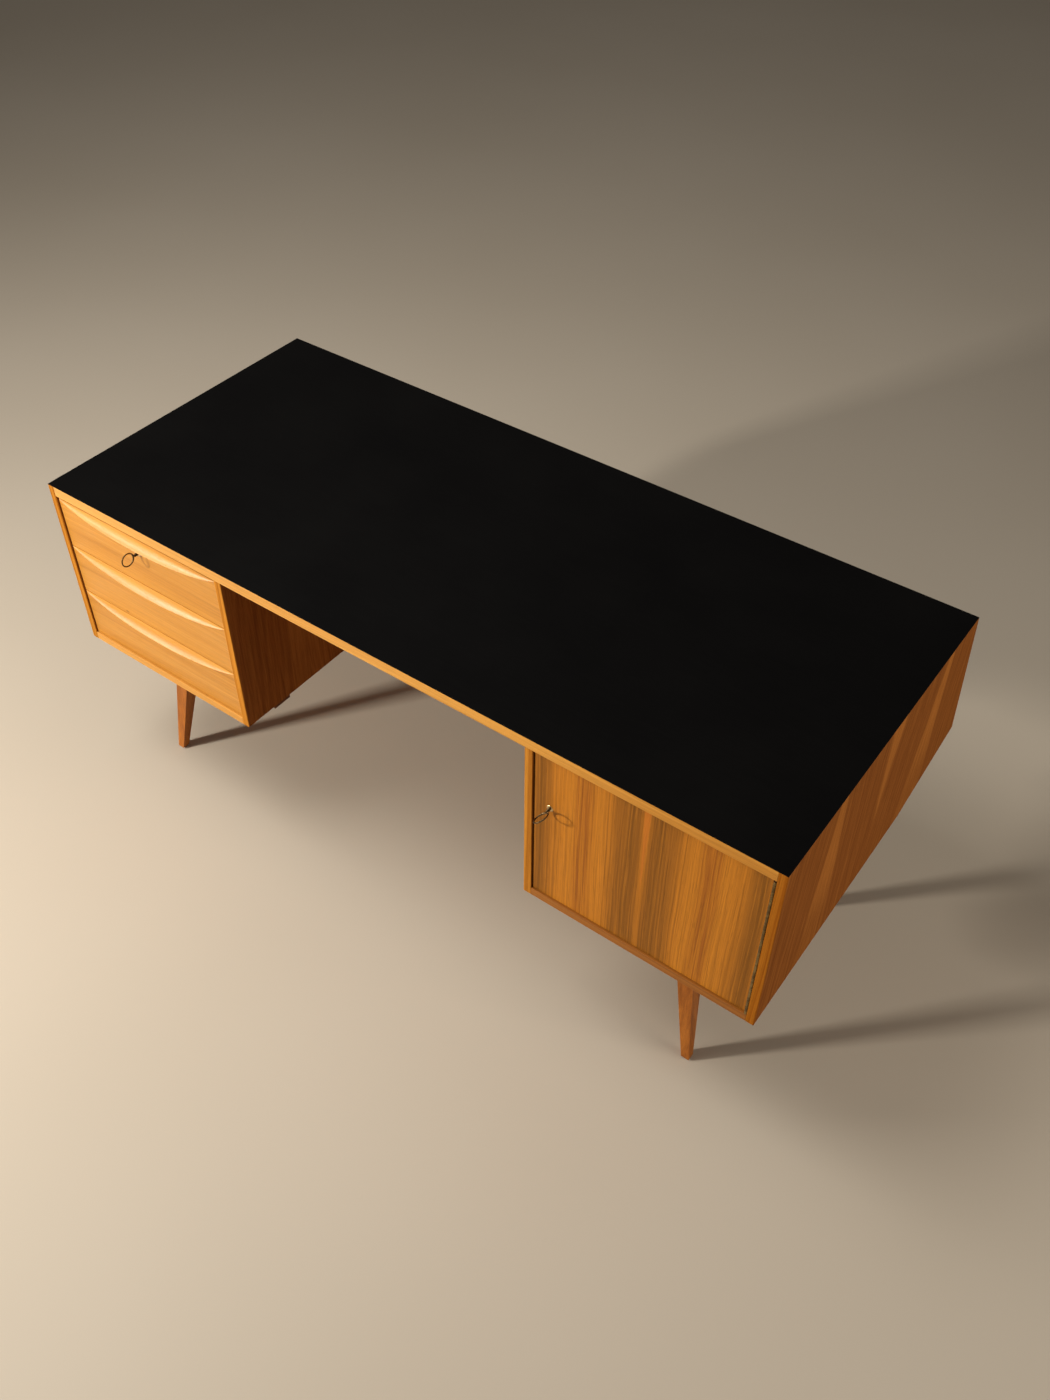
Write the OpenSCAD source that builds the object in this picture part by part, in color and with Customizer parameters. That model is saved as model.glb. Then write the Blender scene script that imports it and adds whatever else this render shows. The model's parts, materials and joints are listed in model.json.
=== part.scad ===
// Writing desk: a black-topped carcass with a drawer pedestal on the left, a cupboard
// pedestal on the right, an open book shelf along the back and four splayed tapered legs.
// Millimetres. X runs left to right, Y from the sitter towards the back, Z up.
// The origin is on the floor, in the middle of the whole desk with its keys in.

/* [Overall size] */
// Width of the desk
desk_w = 1680; // [1500:10:1900]
// Height of the worktop above the floor
desk_h = 740; // [720:5:780]
// Depth of the worktop, front to back
top_depth = 730; // [700:5:790]

/* [Carcass] */
// Thickness of the black laminate
laminate_t = 1.2; // [1:0.1:3]
// Thickness of the top board under the laminate
top_board_t = 22.8; // [18:0.2:26]
// Thickness of the upright sides and of the book shelf
panel_t = 16; // [15:1:22]
// Thickness of the pedestal bottoms
bottom_t = 19; // [16:1:24]
// Width of each pedestal, outside
pedestal_w = 485; // [440:5:520]
// Height from the pedestals' underside to the worktop
pedestal_h = 411; // [404:1:420]

/* [Book shelf at the back] */
// Backward tilt of the book shelf and of the rear edges
tilt = 13.5; // [10:0.5:16]
// Height from the rear lower corner of the sides to the worktop
rear_corner_drop = 354; // [340:1:360]
// Thickness of the upright panels behind the drawers, the kneehole and the cupboard
back_t = 12; // [8:1:16]

/* [Legs] */
// Width of a leg where it meets its rail
leg_top_w = 42; // [34:1:44]
// Width of a leg at its foot
leg_foot_w = 17; // [16:1:24]
// Foot centre, in from the desk's side
foot_in_x = 136; // [110:1:160]
// Foot centre, in from the carcass's front
foot_in_y = 66; // [50:1:80]
// Leg centre at the rail, in from the desk's side
leg_in_x = 185; // [170:1:200]
// Leg centre at the rail, in from the carcass's front
leg_in_y = 108; // [90:1:120]
// Thickness of the leg rails
rail_t = 20; // [16:1:24]
// Width of the leg rails
rail_w = 46; // [46:1:60]

/* [Drawers and door] */
// Thickness of the drawer fronts and the door
front_t = 19; // [16:1:22]
// Distance of the fronts behind the carcass's front edges
recess = 4; // [3:1:8]
// Gap around the fronts
front_gap = 2; // [1.5:0.5:3]
// Gap between the worktop and the top drawer
top_gap = 6.5; // [2:0.5:8]
// Gap between a pedestal's bottom and the fronts
floor_gap = 1; // [1:0.5:2]
// Gap between the door and the side that it hangs on
hinge_gap = 3.3; // [3.3:0.1:4]
// Depth of a drawer box behind its front
drawer_len = 450; // [380:5:460]
// Distance that a carved grip stands out at its middle
grip_out = 11.5; // [8:0.5:14]
// Distance from a drawer's top edge down to the grip's nose, at the middle
grip_drop = 22.5; // [16:0.5:28]

/* [Locks] */
// Distance of the drawer's keyhole below the worktop
drawer_key_drop = 68; // [66:1:74]
// Distance of the door's keyhole below the worktop
door_key_drop = 148; // [120:1:200]
// Distance of the door's keyhole in from the door's free edge
door_key_in = 33; // [30:1:45]
// Angle that the door's key stands at, from level
door_key_angle = 40; // [0:5:60]
// Travel of a lock's bolt
bolt_throw = 10; // [6:1:10]
// Radius of the key's ring, to the middle of its wire
ring_r = 14; // [10:1:16]

/* [Hidden] */
$fn = 48;

// Wood, laminate and metal colours
veneer = [0.72, 0.43, 0.18];
leg_brown = [0.50, 0.26, 0.11];
black = [0.05, 0.05, 0.05];
pale_wood = [0.80, 0.66, 0.45];
brass_tone = [0.66, 0.50, 0.24];
steel_tone = [0.55, 0.55, 0.56];

// Levels
bottom_z = desk_h - pedestal_h;
floor_z = bottom_z + bottom_t;
under_top_z = desk_h - laminate_t - top_board_t;

// The tilted frame of the book shelf: u runs up the shelf to the back, v up its back panel
rear_corner_z = desk_h - rear_corner_drop;
rear_y = top_depth + rear_corner_drop * tan(tilt);
shelf_len = (rear_corner_z - bottom_z) / sin(tilt);
kink_y = rear_y - shelf_len * cos(tilt);
function tilted(u, v) = [kink_y + u * cos(tilt) - v * sin(tilt),
                         bottom_z + u * sin(tilt) + v * cos(tilt)];
// Height along v where a line at u meets the underside of the top board
function v_under_top(u) = (under_top_z - bottom_z - u * sin(tilt)) / cos(tilt);

// The keys stand out in front, so the middle of the desk's box lies a little forward
wire_r = 1.25;
ring_out = 26;
key_reach = ring_out + ring_r + wire_r;
front_y = -(rear_y + recess - key_reach) / 2;

// Pedestal insides
left_x0 = -desk_w / 2 + panel_t;
left_x1 = -desk_w / 2 + pedestal_w - panel_t;
right_x0 = -left_x1;
right_x1 = -left_x0;
bay_w = left_x1 - left_x0;
bay_h = under_top_z - floor_z;

// Drawers, counted from the top
front_w = bay_w - 2 * front_gap;
front_h = (bay_h - top_gap - floor_gap - 2 * front_gap) / 3;
front_x = left_x0 + front_gap;
front_back_y = recess + front_t;
function front_z(i) = floor_z + floor_gap + (2 - i) * (front_h + front_gap);
drawer_side_t = 14;
drawer_side_h = 94;
drawer_side_lift = 8;
drawer_back_t = 12;
drawer_floor_t = 5;
drawer_floor_lift = 8;
floor_groove = 4;
slack = 0.2;
runner_t = 8;
runner_h = 16;
runner_z = 50;
runner_groove = 7;
runner_start = 34;
runner_len = 436;
grip_steps = 28;
grip_end = 0.06;
grip_root = 3;
flare_start = 0.3;
flare_step = 0.1;
nose_t = 1;
grip_under = 2.5;

// Door and its piano hinge
door_x0 = right_x0 + front_gap;
door_x1 = right_x1 - hinge_gap;
door_z = floor_z + floor_gap;
door_h = bay_h - floor_gap - front_gap;
barrel_r = 2.5;
pin_r = 1.05;
barrel_bore_r = 1.1;
leaf_t = 1;
leaf_w = 15;
pivot_x = right_x1 - 2.9;
pivot_y = recess - barrel_r - 0.3;
leaf_y = pivot_y + barrel_r + 0.3;
knuckles = 15;
knuckle_pitch = door_h / knuckles;
knuckle_gap = 0.3;
hinge_screws = 5;
hinge_screw_r = 1.4;
hinge_head_r = 2.6;
hinge_screw_len = 12;

// Cupboard shelf and its pins
cup_shelf_t = 16;
cup_shelf_z = floor_z + bay_h / 2 - cup_shelf_t / 2;
cup_shelf_y = 45;
cup_shelf_depth = 480;
cup_shelf_slack = 1;
front_pin_in = 50;
rear_pin_in = 60;
shelf_pin_r = 2.5;
shelf_pin_in = 8;
shelf_pin_out = 10;

// Legs, rails and their screws
rail_inset = 10;
rail_len = pedestal_w - 2 * rail_inset;
rail_z = bottom_z - rail_t;
glide_t = 3;
glide_r = 7;
screw_r = 2;
screw_head_r = 4.2;
screw_head_t = 3.5;
screw_len = 32;
screw_xs = [-190, 0, 190];
hole_slack = 0.1;

// Locks: the key's axis is at the origin, the front's rear face at y = 0,
// and the bolt is thrown towards +Z
case_w = 34;
case_foot = 16;
case_t = 10;
case_wall = 1.5;
bolt_w = 12;
bolt_t = 4;
bolt_y = 4.2;
bolt_start = 8;
bolt_slack = 0.4;
mortise_slack = 1;
shank_r = 2.5;
bit_r = 8;
bit_t = 2;
key_end_y = 3.8;
bush_r = 4;
rose_r = 7;
rose_t = 1.2;
mortise_depth = 9;
case_gap = 1;
drawer_key_z = desk_h - drawer_key_drop;
drawer_case_reach = under_top_z - top_gap - case_gap - drawer_key_z;
door_case_reach = door_key_in - case_gap;
drawer_key_x = (left_x0 + left_x1) / 2;

// ---- helpers ----

// A panel upright in the YZ plane, its outline in [y, z], from x over the thickness t
module yz_panel(x, t, outline) {
    translate([x, front_y, 0])
        rotate([90, 0, 90])
            linear_extrude(t)
                polygon(outline);
}

// A box placed from the carcass's front plane
module box_at(corner, size) {
    translate([corner.x, front_y + corner.y, corner.z])
        cube(size);
}

// A cylinder along X that starts at the given point
module rod_x(point, r, len) {
    translate([point.x, front_y + point.y, point.z])
        rotate([0, 90, 0])
            cylinder(r = r, h = len);
}

// A cylinder along Y that starts at the given point
module rod_y(point, r, len) {
    translate([point.x, point.y, point.z])
        rotate([-90, 0, 0])
            cylinder(r = r, h = len);
}

// Moves a lock's local frame to the top drawer's front
module at_drawer_lock() {
    translate([drawer_key_x, front_y + front_back_y, drawer_key_z])
        children();
}

// Moves a lock's local frame to the door, where the bolt is thrown to the left
module at_door_lock() {
    translate([door_x0 + door_key_in, front_y + front_back_y, desk_h - door_key_drop])
        rotate([0, -90, 0])
            children();
}

// ---- carcass ----

function side_outline(top_z) = [
    [0, bottom_z], [kink_y, bottom_z], [rear_y, rear_corner_z],
    [rear_y - (top_z - rear_corner_z) * tan(tilt), top_z], [0, top_z]
];

module top_laminate() {
    color(black)
        box_at([-desk_w / 2, 0, desk_h - laminate_t], [desk_w, top_depth, laminate_t]);
}

module top_board() {
    color(veneer)
        difference() {
            box_at([left_x0, 0, under_top_z], [right_x1 - left_x0, top_depth, top_board_t]);
            at_drawer_lock()
                mortise(drawer_case_reach + top_gap + case_gap);
        }
}

module outer_side(x) {
    color(veneer)
        yz_panel(x, panel_t, side_outline(desk_h - laminate_t));
}

module inner_side(x) {
    color(veneer)
        yz_panel(x, panel_t, side_outline(under_top_z));
}

module left_outer_side() {
    outer_side(-desk_w / 2);
}

module left_inner_side() {
    inner_side(left_x1);
}

module right_inner_side() {
    color(veneer)
        difference() {
            inner_side(right_x0 - panel_t);
            at_door_lock()
                mortise(door_key_in + front_gap);
            shelf_pin_holes(right_x0 - shelf_pin_in);
        }
}

module right_outer_side() {
    color(veneer)
        difference() {
            outer_side(right_x1);
            shelf_pin_holes(right_x1);
            hinge_screw_holes(right_x1);
        }
}

module pedestal_bottom(x, side) {
    color(veneer)
        difference() {
            yz_panel(x, bay_w, [
                [0, bottom_z], [kink_y, bottom_z],
                tilted(0, bottom_t / cos(tilt)), [0, floor_z]
            ]);
            rail_screw_holes(side);
        }
}

module left_bottom() {
    pedestal_bottom(left_x0, -1);
}

module right_bottom() {
    pedestal_bottom(right_x0, 1);
}

module book_shelf(x, w) {
    color(veneer)
        yz_panel(x, w, [
            tilted(0, 0), tilted(shelf_len, 0), tilted(shelf_len, panel_t), tilted(0, panel_t)
        ]);
}

module left_book_shelf() {
    book_shelf(left_x0, bay_w);
}

module center_book_shelf() {
    book_shelf(left_x1 + panel_t, right_x0 - left_x1 - 2 * panel_t);
}

module right_book_shelf() {
    book_shelf(right_x0, bay_w);
}

module back_panel(x, w) {
    color(veneer)
        yz_panel(x, w, [
            tilted(0, panel_t), tilted(back_t, panel_t),
            tilted(back_t, v_under_top(back_t)), tilted(0, v_under_top(0))
        ]);
}

module left_back() {
    back_panel(left_x0, bay_w);
}

module center_back() {
    back_panel(left_x1 + panel_t, right_x0 - left_x1 - 2 * panel_t);
}

module right_back() {
    back_panel(right_x0, bay_w);
}

module drawer_runners() {
    color(pale_wood)
        for (i = [0:2])
            for (x = [left_x0, left_x1 - runner_t])
                box_at([x, runner_start, front_z(i) + runner_z], [runner_t, runner_len, runner_h]);
}

// Positions of the four shelf pins, from the front and up
shelf_pin_ys = [cup_shelf_y + front_pin_in, cup_shelf_y + cup_shelf_depth - rear_pin_in];
shelf_pin_z = cup_shelf_z - shelf_pin_r;

module shelf_pin_holes(x) {
    for (y = shelf_pin_ys)
        rod_x([x, y, shelf_pin_z], shelf_pin_r + hole_slack / 2, shelf_pin_in);
}

module shelf_pins() {
    color(steel_tone)
        for (y = shelf_pin_ys)
            for (x = [right_x0 - shelf_pin_in, right_x1 - shelf_pin_out])
                rod_x([x, y, shelf_pin_z], shelf_pin_r, shelf_pin_in + shelf_pin_out);
}

module cupboard_shelf() {
    color(veneer)
        box_at([right_x0 + cup_shelf_slack, cup_shelf_y, cup_shelf_z],
               [bay_w - 2 * cup_shelf_slack, cup_shelf_depth, cup_shelf_t]);
}

// ---- legs ----
// side is -1 for the left pedestal and 1 for the right; end is 0 in front and 1 behind

function from_end(y, end) = end == 0 ? y : kink_y - y;
pedestal_mid = desk_w / 2 - pedestal_w / 2;

module rail_screw_holes(side) {
    for (end = [0, 1])
        for (dx = screw_xs)
            translate([side * pedestal_mid + dx, front_y + from_end(leg_in_y, end), rail_z - 1])
                cylinder(r = screw_r + hole_slack, h = screw_len + 2);
}

module leg_rail(side, end) {
    y = from_end(leg_in_y, end) - rail_w / 2;
    color(leg_brown)
        difference() {
            box_at([side * pedestal_mid - rail_len / 2, y, rail_z], [rail_len, rail_w, rail_t]);
            rail_screw_holes(side);
            for (dx = screw_xs)
                translate([side * pedestal_mid + dx, front_y + y + rail_w / 2, rail_z - 1])
                    cylinder(r = screw_head_r + hole_slack, h = screw_head_t + 1);
        }
}

module left_front_rail() {
    leg_rail(-1, 0);
}

module left_rear_rail() {
    leg_rail(-1, 1);
}

module right_front_rail() {
    leg_rail(1, 0);
}

module right_rear_rail() {
    leg_rail(1, 1);
}

module leg(side, end) {
    plate = 0.4;
    color(leg_brown)
        hull() {
            translate([side * (desk_w / 2 - leg_in_x) - leg_top_w / 2,
                       front_y + from_end(leg_in_y, end) - leg_top_w / 2, rail_z - plate])
                cube([leg_top_w, leg_top_w, plate]);
            translate([side * (desk_w / 2 - foot_in_x) - leg_foot_w / 2,
                       front_y + from_end(foot_in_y, end) - leg_foot_w / 2, glide_t])
                cube([leg_foot_w, leg_foot_w, plate]);
        }
}

module left_front_leg() {
    leg(-1, 0);
}

module left_rear_leg() {
    leg(-1, 1);
}

module right_front_leg() {
    leg(1, 0);
}

module right_rear_leg() {
    leg(1, 1);
}

module leg_glides() {
    color(steel_tone)
        for (side = [-1, 1])
            for (end = [0, 1])
                translate([side * (desk_w / 2 - foot_in_x), front_y + from_end(foot_in_y, end), 0])
                    cylinder(r = glide_r, h = glide_t);
}

module rail_screws() {
    color(steel_tone)
        for (side = [-1, 1])
            for (end = [0, 1])
                for (dx = screw_xs)
                    translate([side * pedestal_mid + dx, front_y + from_end(leg_in_y, end), rail_z]) {
                        cylinder(r = screw_head_r, h = screw_head_t);
                        cylinder(r = screw_r, h = screw_len);
                    }
}

// ---- door and hinge ----

hinge_screw_y = leaf_y + 9;
function hinge_screw_z(k) = door_z + (k + 0.5) * door_h / hinge_screws;

// Holes for the hinge's screws, from x towards +X
module hinge_screw_holes(x) {
    for (k = [0:hinge_screws - 1])
        rod_x([x, hinge_screw_y, hinge_screw_z(k)], hinge_screw_r + hole_slack, hinge_screw_len);
}

// Every other knuckle, from the given first one, each joined to its leaf by a web
module hinge_knuckles(first, web_x) {
    for (k = [first:2:knuckles - 1]) {
        z = door_z + k * knuckle_pitch + knuckle_gap / 2;
        h = knuckle_pitch - knuckle_gap;
        translate([pivot_x, front_y + pivot_y, z])
            difference() {
                union() {
                    cylinder(r = barrel_r, h = h);
                    translate([web_x, 0, 0])
                        cube([leaf_t, leaf_y - pivot_y + 1, h]);
                }
                translate([0, 0, -1])
                    cylinder(r = barrel_bore_r, h = h + 2);
            }
    }
}

module hinge_leaf(x, first, web_x) {
    color(brass_tone)
        union() {
            difference() {
                box_at([x, leaf_y, door_z], [leaf_t, leaf_w, door_h]);
                for (k = [0:hinge_screws - 1])
                    rod_x([x - 1, hinge_screw_y, hinge_screw_z(k)],
                          hinge_head_r + hole_slack, leaf_t + 2);
            }
            hinge_knuckles(first, web_x);
        }
}

module hinge_side_leaf() {
    hinge_leaf(right_x1 - leaf_t, 0, right_x1 - leaf_t - pivot_x);
}

module hinge_door_leaf() {
    hinge_leaf(door_x1, 1, door_x1 - pivot_x);
}

module hinge_pin() {
    color(steel_tone)
        translate([pivot_x, front_y + pivot_y, door_z])
            cylinder(r = pin_r, h = door_h);
}

// Screws whose heads fill a leaf's holes; dir is the way that they point along X
module hinge_screw_row(x, dir) {
    color(brass_tone)
        for (k = [0:hinge_screws - 1])
            translate([x, front_y + hinge_screw_y, hinge_screw_z(k)])
                rotate([0, dir * 90, 0]) {
                    cylinder(r = hinge_head_r, h = leaf_t);
                    cylinder(r = hinge_screw_r, h = hinge_screw_len);
                }
}

module hinge_side_screws() {
    hinge_screw_row(right_x1 - leaf_t, 1);
}

module hinge_door_screws() {
    hinge_screw_row(door_x1 + leaf_t, -1);
}

module door_panel() {
    color(veneer)
        difference() {
            box_at([door_x0, recess, door_z], [door_x1 - door_x0, front_t, door_h]);
            at_door_lock()
                lock_bore();
            hinge_screw_holes(door_x1 - hinge_screw_len);
        }
}

// ---- locks ----

// The bore through a front for the lock's bush
module lock_bore() {
    rod_y([0, -front_t - 1, 0], bush_r, front_t + 2);
}

// The pocket that a thrown bolt enters, starting at the given distance from the key
module mortise(start) {
    translate([-bolt_w / 2 - mortise_slack, bolt_y - mortise_slack, start - 1])
        cube([bolt_w + 2 * mortise_slack, bolt_t + 2 * mortise_slack, mortise_depth + 1]);
}

module lock_case(reach) {
    color(steel_tone)
        difference() {
            translate([-case_w / 2, 0, -case_foot])
                cube([case_w, case_t, case_foot + reach]);
            translate([-case_w / 2 + case_wall, case_wall, -case_foot + case_wall])
                cube([case_w - 2 * case_wall, case_t - 2 * case_wall,
                      case_foot + reach - 2 * case_wall]);
            translate([-bolt_w / 2 - bolt_slack, bolt_y - bolt_slack, reach - case_wall - 1])
                cube([bolt_w + 2 * bolt_slack, bolt_t + 2 * bolt_slack, case_wall + 2]);
            rod_y([0, -1, 0], shank_r + hole_slack, case_wall + 2);
        }
}

module lock_bolt(reach) {
    color(steel_tone)
        translate([-bolt_w / 2, bolt_y, bolt_start])
            cube([bolt_w, bolt_t, reach - bolt_start]);
}

// A rose on the front's face with a bush through the wood
module escutcheon() {
    color(brass_tone)
        difference() {
            union() {
                rod_y([0, -front_t - rose_t, 0], rose_r, rose_t);
                rod_y([0, -front_t, 0], bush_r, front_t);
            }
            rod_y([0, -front_t - rose_t - 1, 0], shank_r + hole_slack, front_t + rose_t + 2);
        }
}

module key() {
    ring_y = -front_t - ring_out;
    color(brass_tone)
        union() {
            translate([0, ring_y, 0])
                rotate([0, 90, 0])
                    rotate_extrude()
                        translate([ring_r, 0])
                            circle(r = wire_r);
            rod_y([0, ring_y + ring_r, 0], shank_r, key_end_y - ring_y - ring_r);
            translate([-bit_t / 2, key_end_y - bit_t, 0])
                cube([bit_t, bit_t, bit_r]);
        }
}

module door_lock_case() {
    at_door_lock()
        lock_case(door_case_reach);
}

module door_escutcheon() {
    at_door_lock()
        escutcheon();
}

module door_bolt() {
    at_door_lock()
        lock_bolt(door_case_reach);
}

module door_key() {
    at_door_lock()
        rotate([0, -door_key_angle, 0])
            key();
}

module drawer_lock_case() {
    at_drawer_lock()
        lock_case(drawer_case_reach);
}

module drawer_escutcheon() {
    at_drawer_lock()
        escutcheon();
}

module drawer_bolt() {
    at_drawer_lock()
        lock_bolt(drawer_case_reach);
}

module drawer_key() {
    at_drawer_lock()
        key();
}

// ---- drawers ----

// The grip's cross-section at full size, [out from the face, down from the top edge]:
// a flare that steepens down to a narrow nose, then back to the face below it
grip_section = concat(
    [[-grip_root, 0]],
    [for (t = [0:flare_step:1])
        [grip_out * t * (flare_start + (1 - flare_start) * t), grip_drop * t]],
    [[grip_out, grip_drop + nose_t], [0, grip_drop + grip_under],
     [-grip_root, grip_drop + grip_under]]
);

// The section shrinks to nothing towards the drawer's ends, so the nose draws a bow
function grip_scale(a) = max(pow(cos(a), 1.5), grip_end);
function grip_ring(a) = [
    for (p = grip_section)
        [front_w / 2 * sin(a), -p.x * (p.x < 0 ? 1 : grip_scale(a)), -p.y * grip_scale(a)]
];

module grip() {
    n = len(grip_section);
    rings = [for (i = [0:grip_steps]) grip_ring(-90 + 180 * i / grip_steps)];
    points = [for (r = rings) for (p = r) p];
    walls = [
        for (i = [0:grip_steps - 1])
            for (j = [0:n - 1])
                let (k = (j + 1) % n)
                    each [[i * n + j, (i + 1) * n + j, (i + 1) * n + k],
                          [i * n + j, (i + 1) * n + k, i * n + k]]
    ];
    first_cap = [for (j = [0:n - 1]) j];
    last_cap = [for (j = [n - 1:-1:0]) grip_steps * n + j];
    polyhedron(points, concat(walls, [first_cap, last_cap]));
}

module drawer_front(i) {
    box_at([front_x, recess, front_z(i)], [front_w, front_t, front_h]);
    translate([front_x + front_w / 2, front_y + recess, front_z(i) + front_h])
        grip();
}

// A drawer's side with the groove that rides on the runner and the one that holds the floor
module drawer_side(i, side) {
    x = side < 0 ? front_x : front_x + front_w - drawer_side_t;
    runner_x = side < 0 ? x - 1 : x + drawer_side_t - runner_groove;
    floor_x = side < 0 ? x + drawer_side_t - floor_groove : x - 1;
    z = front_z(i) + drawer_side_lift;
    color(pale_wood)
        difference() {
            box_at([x, front_back_y, z], [drawer_side_t, drawer_len, drawer_side_h]);
            box_at([runner_x, front_back_y - 1, front_z(i) + runner_z - 0.5],
                   [runner_groove + 1, drawer_len + 2, runner_h + 1]);
            box_at([floor_x, front_back_y - 1, z + drawer_floor_lift],
                   [floor_groove + 1, drawer_len + 2, drawer_floor_t + slack]);
        }
}

module drawer_back(i) {
    z = front_z(i) + drawer_side_lift + drawer_floor_lift + drawer_floor_t + slack;
    color(pale_wood)
        box_at([front_x + drawer_side_t, front_back_y + drawer_len - drawer_back_t, z],
               [front_w - 2 * drawer_side_t, drawer_back_t,
                drawer_side_h - drawer_floor_lift - drawer_floor_t - slack - 4]);
}

module drawer_bottom(i) {
    inset = drawer_side_t - floor_groove + slack;
    color(pale_wood)
        box_at([front_x + inset, front_back_y,
                front_z(i) + drawer_side_lift + drawer_floor_lift + slack / 2],
               [front_w - 2 * inset, drawer_len, drawer_floor_t]);
}

module top_drawer_front() {
    color(veneer)
        difference() {
            drawer_front(0);
            at_drawer_lock()
                lock_bore();
        }
}

module top_drawer_left() {
    drawer_side(0, -1);
}

module top_drawer_right() {
    drawer_side(0, 1);
}

module top_drawer_back() {
    drawer_back(0);
}

module top_drawer_bottom() {
    drawer_bottom(0);
}

module middle_drawer_front() {
    color(veneer)
        drawer_front(1);
}

module middle_drawer_left() {
    drawer_side(1, -1);
}

module middle_drawer_right() {
    drawer_side(1, 1);
}

module middle_drawer_back() {
    drawer_back(1);
}

module middle_drawer_bottom() {
    drawer_bottom(1);
}

module lower_drawer_front() {
    color(veneer)
        drawer_front(2);
}

module lower_drawer_left() {
    drawer_side(2, -1);
}

module lower_drawer_right() {
    drawer_side(2, 1);
}

module lower_drawer_back() {
    drawer_back(2);
}

module lower_drawer_bottom() {
    drawer_bottom(2);
}

// ---- the pieces ----
top_laminate();
top_board();
left_outer_side();
left_inner_side();
right_inner_side();
right_outer_side();
left_bottom();
right_bottom();
left_book_shelf();
center_book_shelf();
right_book_shelf();
left_back();
center_back();
right_back();
drawer_runners();
cupboard_shelf();
shelf_pins();
left_front_rail();
left_rear_rail();
right_front_rail();
right_rear_rail();
left_front_leg();
left_rear_leg();
right_front_leg();
right_rear_leg();
leg_glides();
rail_screws();
hinge_side_leaf();
hinge_pin();
hinge_side_screws();
door_panel();
hinge_door_leaf();
hinge_door_screws();
door_lock_case();
door_escutcheon();
door_bolt();
door_key();
top_drawer_front();
top_drawer_left();
top_drawer_right();
top_drawer_back();
top_drawer_bottom();
drawer_lock_case();
drawer_escutcheon();
drawer_bolt();
drawer_key();
middle_drawer_front();
middle_drawer_left();
middle_drawer_right();
middle_drawer_back();
middle_drawer_bottom();
lower_drawer_front();
lower_drawer_left();
lower_drawer_right();
lower_drawer_back();
lower_drawer_bottom();
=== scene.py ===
"""Writing desk: the looks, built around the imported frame. Metres throughout."""
import bmesh
import bpy
import json
import math
from mathutils import Matrix, Vector


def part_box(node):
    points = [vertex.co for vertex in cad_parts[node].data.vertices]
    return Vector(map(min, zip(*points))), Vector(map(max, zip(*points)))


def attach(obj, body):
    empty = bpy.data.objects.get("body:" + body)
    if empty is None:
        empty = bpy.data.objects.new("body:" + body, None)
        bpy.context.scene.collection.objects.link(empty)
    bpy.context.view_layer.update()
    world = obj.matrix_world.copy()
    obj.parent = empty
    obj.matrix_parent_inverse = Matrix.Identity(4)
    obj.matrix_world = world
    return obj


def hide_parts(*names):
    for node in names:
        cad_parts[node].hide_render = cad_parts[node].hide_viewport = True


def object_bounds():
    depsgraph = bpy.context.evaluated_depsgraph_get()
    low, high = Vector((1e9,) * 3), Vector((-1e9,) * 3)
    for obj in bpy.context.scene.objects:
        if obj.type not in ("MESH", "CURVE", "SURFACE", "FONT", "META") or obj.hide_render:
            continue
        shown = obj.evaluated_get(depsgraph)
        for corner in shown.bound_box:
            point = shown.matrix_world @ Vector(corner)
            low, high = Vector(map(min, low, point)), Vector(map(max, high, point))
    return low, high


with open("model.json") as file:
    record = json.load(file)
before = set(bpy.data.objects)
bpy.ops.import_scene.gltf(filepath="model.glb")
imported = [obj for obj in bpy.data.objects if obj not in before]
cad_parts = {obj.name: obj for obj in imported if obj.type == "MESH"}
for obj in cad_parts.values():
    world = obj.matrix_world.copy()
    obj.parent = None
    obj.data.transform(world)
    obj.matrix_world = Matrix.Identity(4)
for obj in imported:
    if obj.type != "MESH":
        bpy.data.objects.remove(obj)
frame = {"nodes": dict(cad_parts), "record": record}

cad_lo, cad_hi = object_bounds()
MM = 0.001
NODES = frame["nodes"]
BODY_OF = {node: body for body, nodes in frame["record"]["behaviour"]["bodies"].items()
           for node in nodes}
SLOT_OF = {part["node"]: part["material_slot"] for part in frame["record"]["subparts"]}

# ---- camera and light ----------------------------------------------------------------

# Angles in radians, the lens in millimetres
CAMERA_AT = Vector((1.2154, -1.5803, 2.2728))
CAMERA_PITCH_DOWN = 0.77796
CAMERA_YAW = -0.62538
CAMERA_ROLL = -0.00741
CAMERA_LENS = 33.32


def add_camera():
    """The camera, turned by its yaw, then its pitch, then its roll."""
    cos_p = math.cos(CAMERA_PITCH_DOWN)
    forward = Vector((math.sin(CAMERA_YAW) * cos_p, math.cos(CAMERA_YAW) * cos_p,
                      -math.sin(CAMERA_PITCH_DOWN)))
    level_right = Vector((math.cos(CAMERA_YAW), -math.sin(CAMERA_YAW), 0))
    level_down = forward.cross(level_right)
    right = level_right * math.cos(CAMERA_ROLL) + level_down * math.sin(CAMERA_ROLL)
    up = right.cross(forward)
    data = bpy.data.cameras.new("photo_camera")
    data.lens = CAMERA_LENS
    data.clip_start = 0.02
    camera = bpy.data.objects.new("photo_camera", data)
    turn = Matrix((right, up, -forward)).transposed().to_4x4()
    camera.matrix_world = Matrix.Translation(CAMERA_AT) @ turn
    bpy.context.scene.collection.objects.link(camera)
    bpy.context.scene.camera = camera


def add_area_light(name, at, aim, size, watts, colour):
    """A square light that shines from one point towards another."""
    data = bpy.data.lights.new(name, "AREA")
    data.shape = "SQUARE"
    data.size = size
    data.energy = watts
    data.color = colour
    light = bpy.data.objects.new(name, data)
    light.location = at
    light.rotation_euler = (Vector(aim) - Vector(at)).to_track_quat("-Z", "Y").to_euler()
    light.visible_camera = False
    bpy.context.scene.collection.objects.link(light)


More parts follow.
